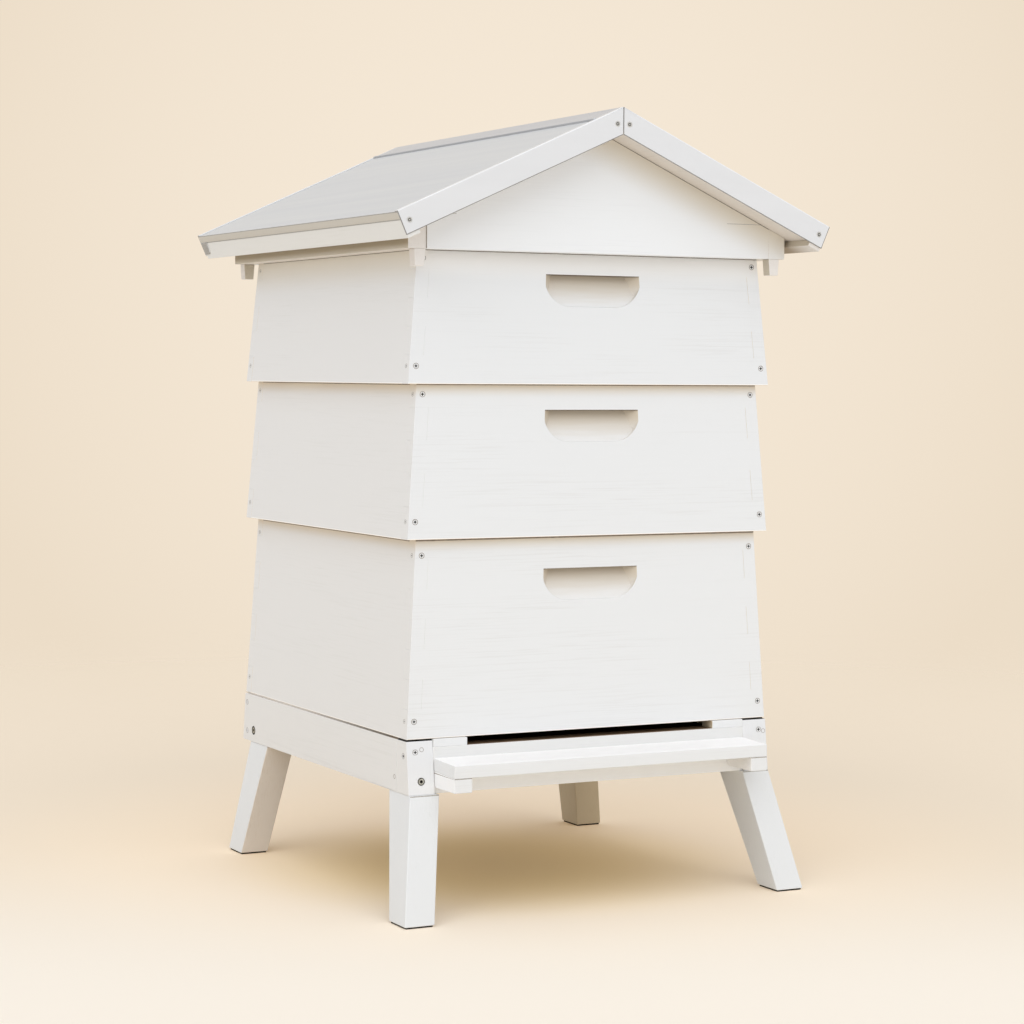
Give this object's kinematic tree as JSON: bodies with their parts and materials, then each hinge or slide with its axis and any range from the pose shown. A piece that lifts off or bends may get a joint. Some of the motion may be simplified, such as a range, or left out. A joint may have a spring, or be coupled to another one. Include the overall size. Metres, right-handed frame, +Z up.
{
  "type": "beehive",
  "caption": "White double-walled cottage beehive: splayed lifts under a metal gable roof, entrance slides, landing board and splayed legs, with inner boxes of comb frames.",
  "frame": {"origin": "on the ground, under the middle of the hive", "axes": "+Z up, front with the entrance towards -Y, +X to the right as seen from the front"},
  "size_m": [0.615, 0.6744, 1.0024],
  "materials": {
    "white_paint": "white painted pine",
    "bare_pine": "bare planed pine",
    "plywood": "bare plywood",
    "roof_sheet": "matt grey sheet",
    "verge_trim": "pale satin folded sheet",
    "zinc_steel": "zinc plated",
    "beeswax": "embossed beeswax",
    "dark_pad": "dark moulded pad"
  },
  "bodies": {
    "stand": {"leg_front_left": "white_paint", "leg_front_right": "white_paint", "leg_back_left": "white_paint", "leg_back_right": "white_paint", "foot_glides": "dark_pad", "leg_bolts": "zinc_steel", "side_rail_left": "white_paint", "side_rail_right": "white_paint", "front_post_left": "white_paint", "front_post_right": "white_paint", "back_rail": "white_paint", "front_rail": "white_paint", "stand_screws": "zinc_steel", "floor_board": "bare_pine", "floor_battens": "bare_pine", "landing_board": "white_paint", "landing_brackets": "white_paint"},
    "slide_left": {"entrance_slide_left": "white_paint"},
    "slide_right": {"entrance_slide_right": "white_paint"},
    "brood_chamber": {"brood_box": "bare_pine"},
    "brood_combs": {"brood_frames": "bare_pine", "brood_foundation": "beeswax"},
    "lower_lift": {"lower_lift_front": "white_paint", "lower_lift_back": "white_paint", "lower_lift_left": "white_paint", "lower_lift_right": "white_paint", "lower_lift_screws": "zinc_steel"},
    "queen_excluder": {"queen_excluder_frame": "bare_pine", "queen_excluder_wires": "zinc_steel"},
    "lower_super": {"lower_super_box": "bare_pine"},
    "lower_super_combs": {"lower_super_frames": "bare_pine", "lower_super_foundation": "beeswax"},
    "middle_lift": {"middle_lift_front": "white_paint", "middle_lift_back": "white_paint", "middle_lift_left": "white_paint", "middle_lift_right": "white_paint", "middle_lift_screws": "zinc_steel"},
    "upper_super": {"upper_super_box": "bare_pine"},
    "upper_super_combs": {"upper_super_frames": "bare_pine", "upper_super_foundation": "beeswax"},
    "crown": {"crown_board": "plywood"},
    "upper_lift": {"upper_lift_front": "white_paint", "upper_lift_back": "white_paint", "upper_lift_left": "white_paint", "upper_lift_right": "white_paint", "upper_lift_screws": "zinc_steel"},
    "roof": {"gable_front": "white_paint", "gable_back": "white_paint", "roof_side_rails": "white_paint", "roof_battens": "bare_pine", "roof_blocks": "white_paint", "roof_deck_left": "white_paint", "roof_deck_right": "white_paint", "eave_fascias": "white_paint", "roof_sheet_left": "roof_sheet", "roof_sheet_right": "roof_sheet", "ridge_cap": "roof_sheet", "verge_trim_front": "verge_trim", "verge_trim_back": "verge_trim", "roof_screws": "zinc_steel"}
  },
  "joints": [
    {"name": "slide_left_travel", "type": "slide", "parent": "stand", "child": "slide_left", "axis": [1, 0, 0], "range_m": [0, 0.175]},
    {"name": "slide_right_travel", "type": "slide", "parent": "stand", "child": "slide_right", "axis": [-1, 0, 0], "range_m": [0, 0.175]},
    {"name": "brood_chamber_off", "type": "slide", "parent": "stand", "child": "brood_chamber", "axis": [0, 0, 1], "range_m": [0, 0.1]},
    {"name": "brood_combs_off", "type": "slide", "parent": "brood_chamber", "child": "brood_combs", "axis": [0, 0, 1], "range_m": [0, 0.23]},
    {"name": "lower_lift_off", "type": "slide", "parent": "brood_combs", "child": "lower_lift", "axis": [0, 0, 1], "range_m": [0, 0.26]},
    {"name": "queen_excluder_off", "type": "slide", "parent": "lower_lift", "child": "queen_excluder", "axis": [0, 0, 1], "range_m": [0, 0.05]},
    {"name": "lower_super_off", "type": "slide", "parent": "queen_excluder", "child": "lower_super", "axis": [0, 0, 1], "range_m": [0, 0.1]},
    {"name": "lower_super_combs_off", "type": "slide", "parent": "lower_super", "child": "lower_super_combs", "axis": [0, 0, 1], "range_m": [0, 0.16]},
    {"name": "middle_lift_off", "type": "slide", "parent": "lower_super_combs", "child": "middle_lift", "axis": [0, 0, 1], "range_m": [0, 0.2]},
    {"name": "upper_super_off", "type": "slide", "parent": "middle_lift", "child": "upper_super", "axis": [0, 0, 1], "range_m": [0, 0.1]},
    {"name": "upper_super_combs_off", "type": "slide", "parent": "upper_super", "child": "upper_super_combs", "axis": [0, 0, 1], "range_m": [0, 0.16]},
    {"name": "crown_off", "type": "slide", "parent": "upper_super_combs", "child": "crown", "axis": [0, 0, 1], "range_m": [0, 0.06]},
    {"name": "upper_lift_off", "type": "slide", "parent": "crown", "child": "upper_lift", "axis": [0, 0, 1], "range_m": [0, 0.2]},
    {"name": "roof_off", "type": "slide", "parent": "upper_lift", "child": "roof", "axis": [0, 0, 1], "range_m": [0, 0.2]}
  ]
}
